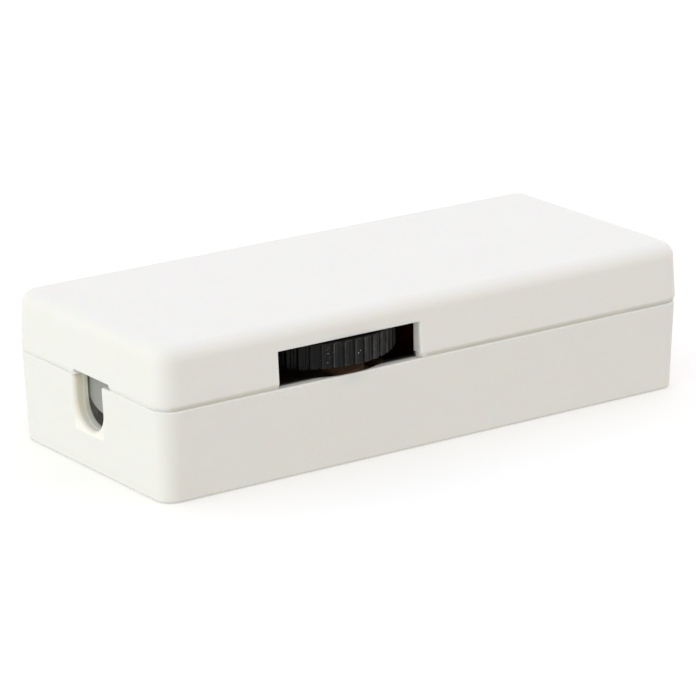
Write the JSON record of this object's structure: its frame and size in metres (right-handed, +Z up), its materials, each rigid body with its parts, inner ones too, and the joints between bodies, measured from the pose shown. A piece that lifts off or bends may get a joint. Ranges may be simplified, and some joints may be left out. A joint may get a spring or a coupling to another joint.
{
  "type": "inline cord dimmer",
  "caption": "Inline lamp-cord dimmer: a plain moulded box with a lid, a cord entry at either end and a fluted thumbwheel showing through a side window.",
  "frame": {"origin": "centre of the box's underside, on the plane it rests on", "axes": "+X along the box from one cord entry to the other, -Y out of the side with the thumbwheel window, +Z up through the lid"},
  "size_m": [0.09, 0.0396, 0.0221],
  "materials": {
    "shell": "cream-white moulded thermoplastic, satin",
    "wheel": "charcoal moulded plastic",
    "board": "brown phenolic board",
    "nylon": "blue-grey moulded nylon",
    "terminal": "dark moulded terminal body",
    "brass": "brass",
    "zinc_steel": "zinc-plated steel",
    "aluminium": "mill-finish sheet",
    "tin": "tinned strip",
    "black_part": "black moulded epoxy",
    "brown_cup": "tan moulded phenolic",
    "white_pin": "white moulded shaft",
    "film_cap": "slate-grey boxed film capacitor",
    "small_cap": "green dipped film capacitor",
    "ferrite": "iron powder ring, coated",
    "enamelled": "enamelled copper wire",
    "resistor": "tan lacquered film resistor",
    "fuse_glass": "glass tube fuse",
    "diac_glass": "small glass-bodied part"
  },
  "bodies": {
    "housing": {"base_shell": "shell", "lid_shell": "shell", "pot_cover": "brown_cup", "pot_wafer": "board", "pot_terminals": "tin", "circuit_board": "board", "board_screws": "zinc_steel", "terminal_block_in": "terminal", "terminal_block_out": "terminal", "terminal_cages": "brass", "terminal_screws": "zinc_steel", "cord_clamp_in": "nylon", "cord_clamp_out": "nylon", "clamp_screws": "zinc_steel", "housing_screws": "zinc_steel", "heat_sink": "aluminium", "triac": "black_part", "triac_screw": "zinc_steel", "triac_nut": "zinc_steel", "suppression_capacitor": "film_cap", "choke_core": "ferrite", "choke_winding": "enamelled", "fuse": "fuse_glass", "fuse_clips": "tin", "diac": "diac_glass", "timing_resistor": "resistor", "damping_resistor": "resistor", "timing_capacitor": "small_cap"},
    "wheel": {"thumbwheel": "wheel", "pot_shaft": "white_pin", "pot_rotor": "black_part", "pot_wiper": "brass"}
  },
  "joints": [
    {"name": "wheel_turn", "type": "hinge", "parent": "housing", "child": "wheel", "pos_m": [-0.01365, -0.00713, 0.0164], "axis": [0, 0, 1], "range_deg": [-150, 150]}
  ]
}
